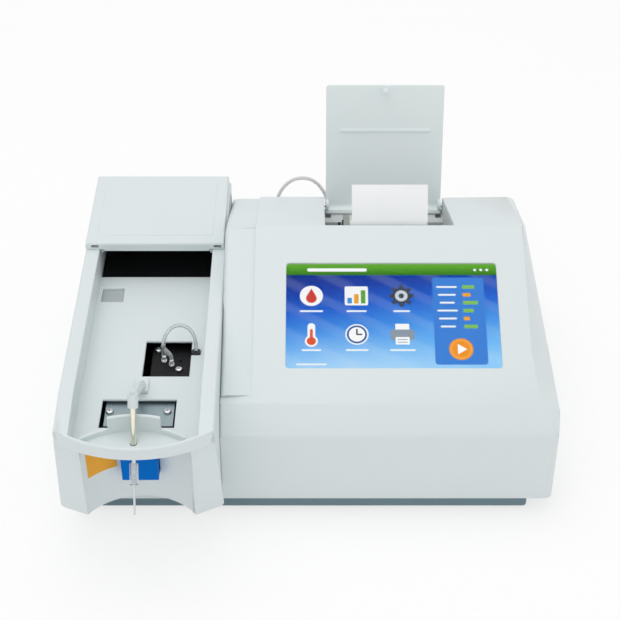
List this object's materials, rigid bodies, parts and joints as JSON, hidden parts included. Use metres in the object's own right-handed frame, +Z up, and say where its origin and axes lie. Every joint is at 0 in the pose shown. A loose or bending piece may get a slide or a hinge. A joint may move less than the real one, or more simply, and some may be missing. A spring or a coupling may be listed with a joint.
{
  "type": "chemistry analyzer",
  "caption": "Bench chemistry analyzer with a sloped touch screen, open printer bay with hinged cover, and a sampling module with needle, drip tray and sliding cover.",
  "frame": {"origin": "on the bench under the middle of the outline", "axes": "+X to the right seen from the front, +Y to the back, +Z up"},
  "size_m": [0.354, 0.3381, 0.2011],
  "materials": {
    "amber_film": "amber film",
    "black_anodised": "black anodised block",
    "black_rubber": "matt rubber",
    "blue_key": "bright blue moulding",
    "board_green": "lacquered circuit board",
    "bracket_steel": "zinc-plated sheet",
    "clear_hose": "clear flexible tube",
    "dark_plastic": "moulded black plastic",
    "grey_plastic": "moulded grey plastic",
    "inner_plastic": "moulded light grey plastic",
    "lens_glass": "coated glass",
    "pan_paint": "grey-green powder coat",
    "paper": "thermal paper",
    "plain_aluminium": "machined aluminium",
    "screen_glass": "clear touch glass",
    "screen_panel": "lit display panel",
    "screw_steel": "bright pan-head screws",
    "spring_steel": "drawn wire",
    "stainless": "polished stainless steel",
    "white_shell": "smooth pale grey-white moulding"
  },
  "bodies": {
    "analyzer": {"amber_patch": "amber_film", "aspiration_needle": "stainless", "base_pan": "pan_paint", "branch_tube": "clear_hose", "cell_fittings": "stainless", "cuvette_block": "black_anodised", "data_port": "stainless", "detector_board": "board_green", "display_panel": "screen_panel", "drip_tray": "stainless", "fan_frame": "dark_plastic", "feet": "black_rubber", "filter_motor": "dark_plastic", "flow_cell": "lens_glass", "flow_cell_block": "black_anodised", "flow_hose": "clear_hose", "hinge_pins": "stainless", "hose_fittings": "stainless", "lamp": "lens_glass", "lamp_housing": "plain_aluminium", "main_board": "board_green", "main_cover": "white_shell", "module_shell": "white_shell", "needle_bracket": "bracket_steel", "needle_guide": "white_shell", "needle_holder": "clear_hose", "needle_sleeve": "stainless", "optics_base": "plain_aluminium", "paper_roll": "paper", "paper_strip": "paper", "power_inlet": "dark_plastic", "power_supply": "plain_aluminium", "print_head": "dark_plastic", "print_motor": "grey_plastic", "printer_chassis": "bracket_steel", "printer_tub": "inner_plastic", "pump_housing": "grey_plastic", "pump_motor": "dark_plastic", "rear_deck": "black_anodised", "rear_hose": "clear_hose", "rear_panel": "pan_paint", "screen_carrier": "dark_plastic", "screws": "screw_steel", "serial_port": "stainless", "switch_housing": "dark_plastic", "touch_glass": "screen_glass", "trigger_spring": "spring_steel", "trigger_switch": "dark_plastic", "tube_clip": "dark_plastic"},
    "printer_cover": {"printer_cover": "white_shell", "cover_peg": "dark_plastic"},
    "sliding_cover": {"sliding_cover": "white_shell"},
    "trigger_key": {"trigger_key": "blue_key"},
    "rocker_switch": {"rocker_switch": "dark_plastic"},
    "platen": {"platen_roller": "black_rubber", "platen_shaft": "stainless"},
    "fan_rotor": {"fan_rotor": "dark_plastic"},
    "filter_wheel": {"filter_wheel": "plain_aluminium", "filter_glasses": "lens_glass"},
    "pump_rotor": {"pump_rotor": "inner_plastic"}
  },
  "joints": [
    {"name": "printer_cover_hinge", "type": "hinge", "parent": "analyzer", "child": "printer_cover", "pos_m": [0.0599, 0.1396, 0.104], "axis": [1, 0, 0], "range_deg": [0, 80]},
    {"name": "sliding_cover_slide", "type": "slide", "parent": "analyzer", "child": "sliding_cover", "axis": [0, -1, 0], "range_m": [0, 0.125]},
    {"name": "trigger_key_press", "type": "slide", "parent": "analyzer", "child": "trigger_key", "axis": [0, 1, 0], "range_m": [0, 0.003], "stiffness_N_per_m": 400, "springref_m": -0.001, "deforming": ["trigger_spring"]},
    {"name": "rocker_tilt", "type": "hinge", "parent": "analyzer", "child": "rocker_switch", "pos_m": [0.014, 0.1395, 0.038], "axis": [0, 0, 1], "range_deg": [-16, 0]},
    {"name": "platen_spin", "type": "hinge", "parent": "analyzer", "child": "platen", "pos_m": [0.0599, 0.0538, 0.118], "axis": [1, 0, 0], "continuous": true},
    {"name": "fan_spin", "type": "hinge", "parent": "analyzer", "child": "fan_rotor", "pos_m": [0.124, 0.1364, 0.046], "axis": [0, 1, 0], "continuous": true},
    {"name": "filter_wheel_spin", "type": "hinge", "parent": "analyzer", "child": "filter_wheel", "pos_m": [-0.1216, 0.064, 0.066], "axis": [0, 1, 0], "continuous": true},
    {"name": "pump_spin", "type": "hinge", "parent": "analyzer", "child": "pump_rotor", "pos_m": [-0.142, -0.009, 0.05], "axis": [0, 1, 0], "continuous": true}
  ]
}
